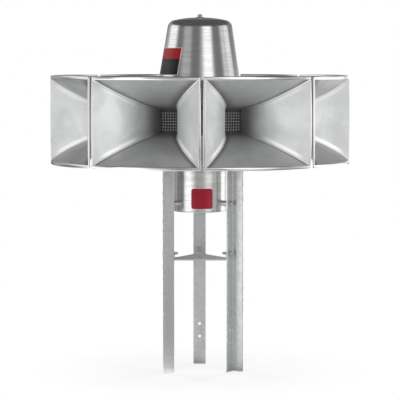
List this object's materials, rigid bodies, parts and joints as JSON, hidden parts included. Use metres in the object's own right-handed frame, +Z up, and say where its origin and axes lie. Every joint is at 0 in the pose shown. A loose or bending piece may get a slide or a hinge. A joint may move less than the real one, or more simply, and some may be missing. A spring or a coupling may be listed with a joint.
{
  "type": "outdoor warning siren head on a tripod of angle legs",
  "caption": "Ring of flared rectangular horns round a drum, under a spun weather dome, with a motor housing below, standing on angle legs joined by a brace plate.",
  "frame": {"origin": "on the tower's axis, at the foot of the legs", "axes": "+Z up along the tower's axis, -Y to the front, where two horns meet, +Y to the rear leg"},
  "size_m": [1.454, 1.454, 1.7358],
  "materials": {
    "horn_metal": "satin, mottled by weather",
    "spun_metal": "spun, with fine rings",
    "housing_metal": "brushed round",
    "plate_metal": "dull",
    "cage_metal": "galvanised",
    "screen_wire": "galvanised wire",
    "galvanised": "hot-dip galvanised, mottled",
    "bolt_metal": "zinc plated",
    "dark_casting": "matt black"
  },
  "bodies": {
    "root": {"horn_1": "horn_metal", "horn_2": "horn_metal", "horn_3": "horn_metal", "horn_4": "horn_metal", "horn_5": "horn_metal", "horn_6": "horn_metal", "horn_7": "horn_metal", "horn_8": "horn_metal", "throat_screen_1": "screen_wire", "throat_screen_2": "screen_wire", "throat_screen_3": "screen_wire", "throat_screen_4": "screen_wire", "throat_screen_5": "screen_wire", "throat_screen_6": "screen_wire", "throat_screen_7": "screen_wire", "throat_screen_8": "screen_wire", "stator_housing": "dark_casting", "stator_top_plate": "plate_metal", "stator_bottom_plate": "plate_metal", "weather_dome": "spun_metal", "intake_cage": "cage_metal", "dome_tie_rod": "bolt_metal", "dome_wing_nut": "bolt_metal", "motor_housing": "housing_metal", "brace_plate": "galvanised", "leg_rear": "galvanised", "brace_bolt_rear": "bolt_metal", "housing_bolt_rear": "bolt_metal", "housing_spacer_rear": "bolt_metal", "leg_left": "galvanised", "brace_bolt_left": "bolt_metal", "housing_bolt_left": "bolt_metal", "housing_spacer_left": "bolt_metal", "leg_right": "galvanised", "brace_bolt_right": "bolt_metal", "housing_bolt_right": "bolt_metal", "housing_spacer_right": "bolt_metal"}
  },
  "joints": []
}
